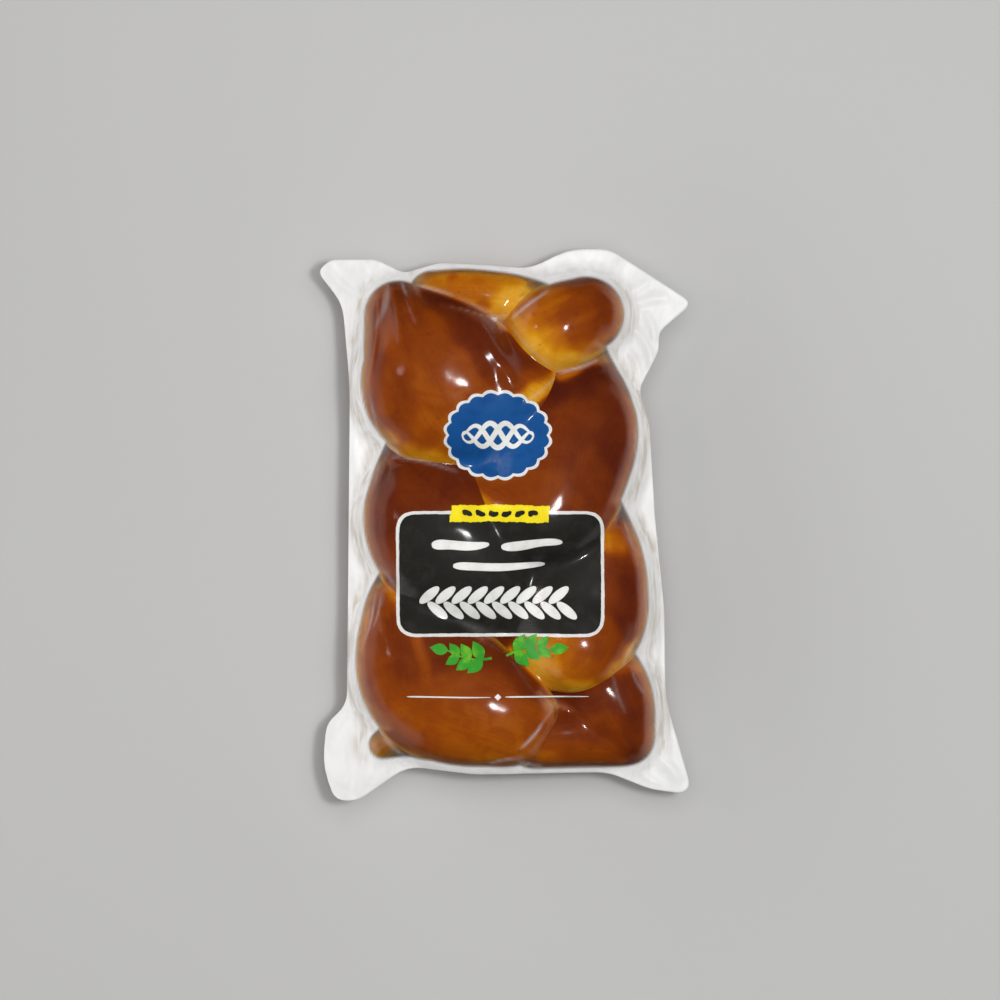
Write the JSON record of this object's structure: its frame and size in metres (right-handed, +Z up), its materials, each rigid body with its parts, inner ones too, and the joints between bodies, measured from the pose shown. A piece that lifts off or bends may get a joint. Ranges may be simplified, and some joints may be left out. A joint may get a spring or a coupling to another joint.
{
  "type": "vacuum-packed smoked braided cheese",
  "caption": "Smoked string cheese plaited into a thick braid, sealed tight in a clear vacuum pouch that lies flat, with a plain printed panel on its front.",
  "frame": {"origin": "under the middle of the pack, on the surface that it lies on", "axes": "+X across the pack, +Y along it towards the end with the round strand end, +Z up out of its printed front"},
  "size_m": [0.097, 0.1446, 0.0341],
  "materials": {
    "cheese": "smoked cheese skin, chestnut brown where it lies open and amber yellow in the folds, wet looking under the film",
    "film": "clear glossy vacuum film, a little milky where its two sheets are sealed together",
    "print": "opaque ink on the film: charcoal panel, white rims and strokes, blue oval, yellow bar and green leaves"
  },
  "bodies": {
    "root": {"cheese_pack": "cheese"}
  },
  "joints": []
}
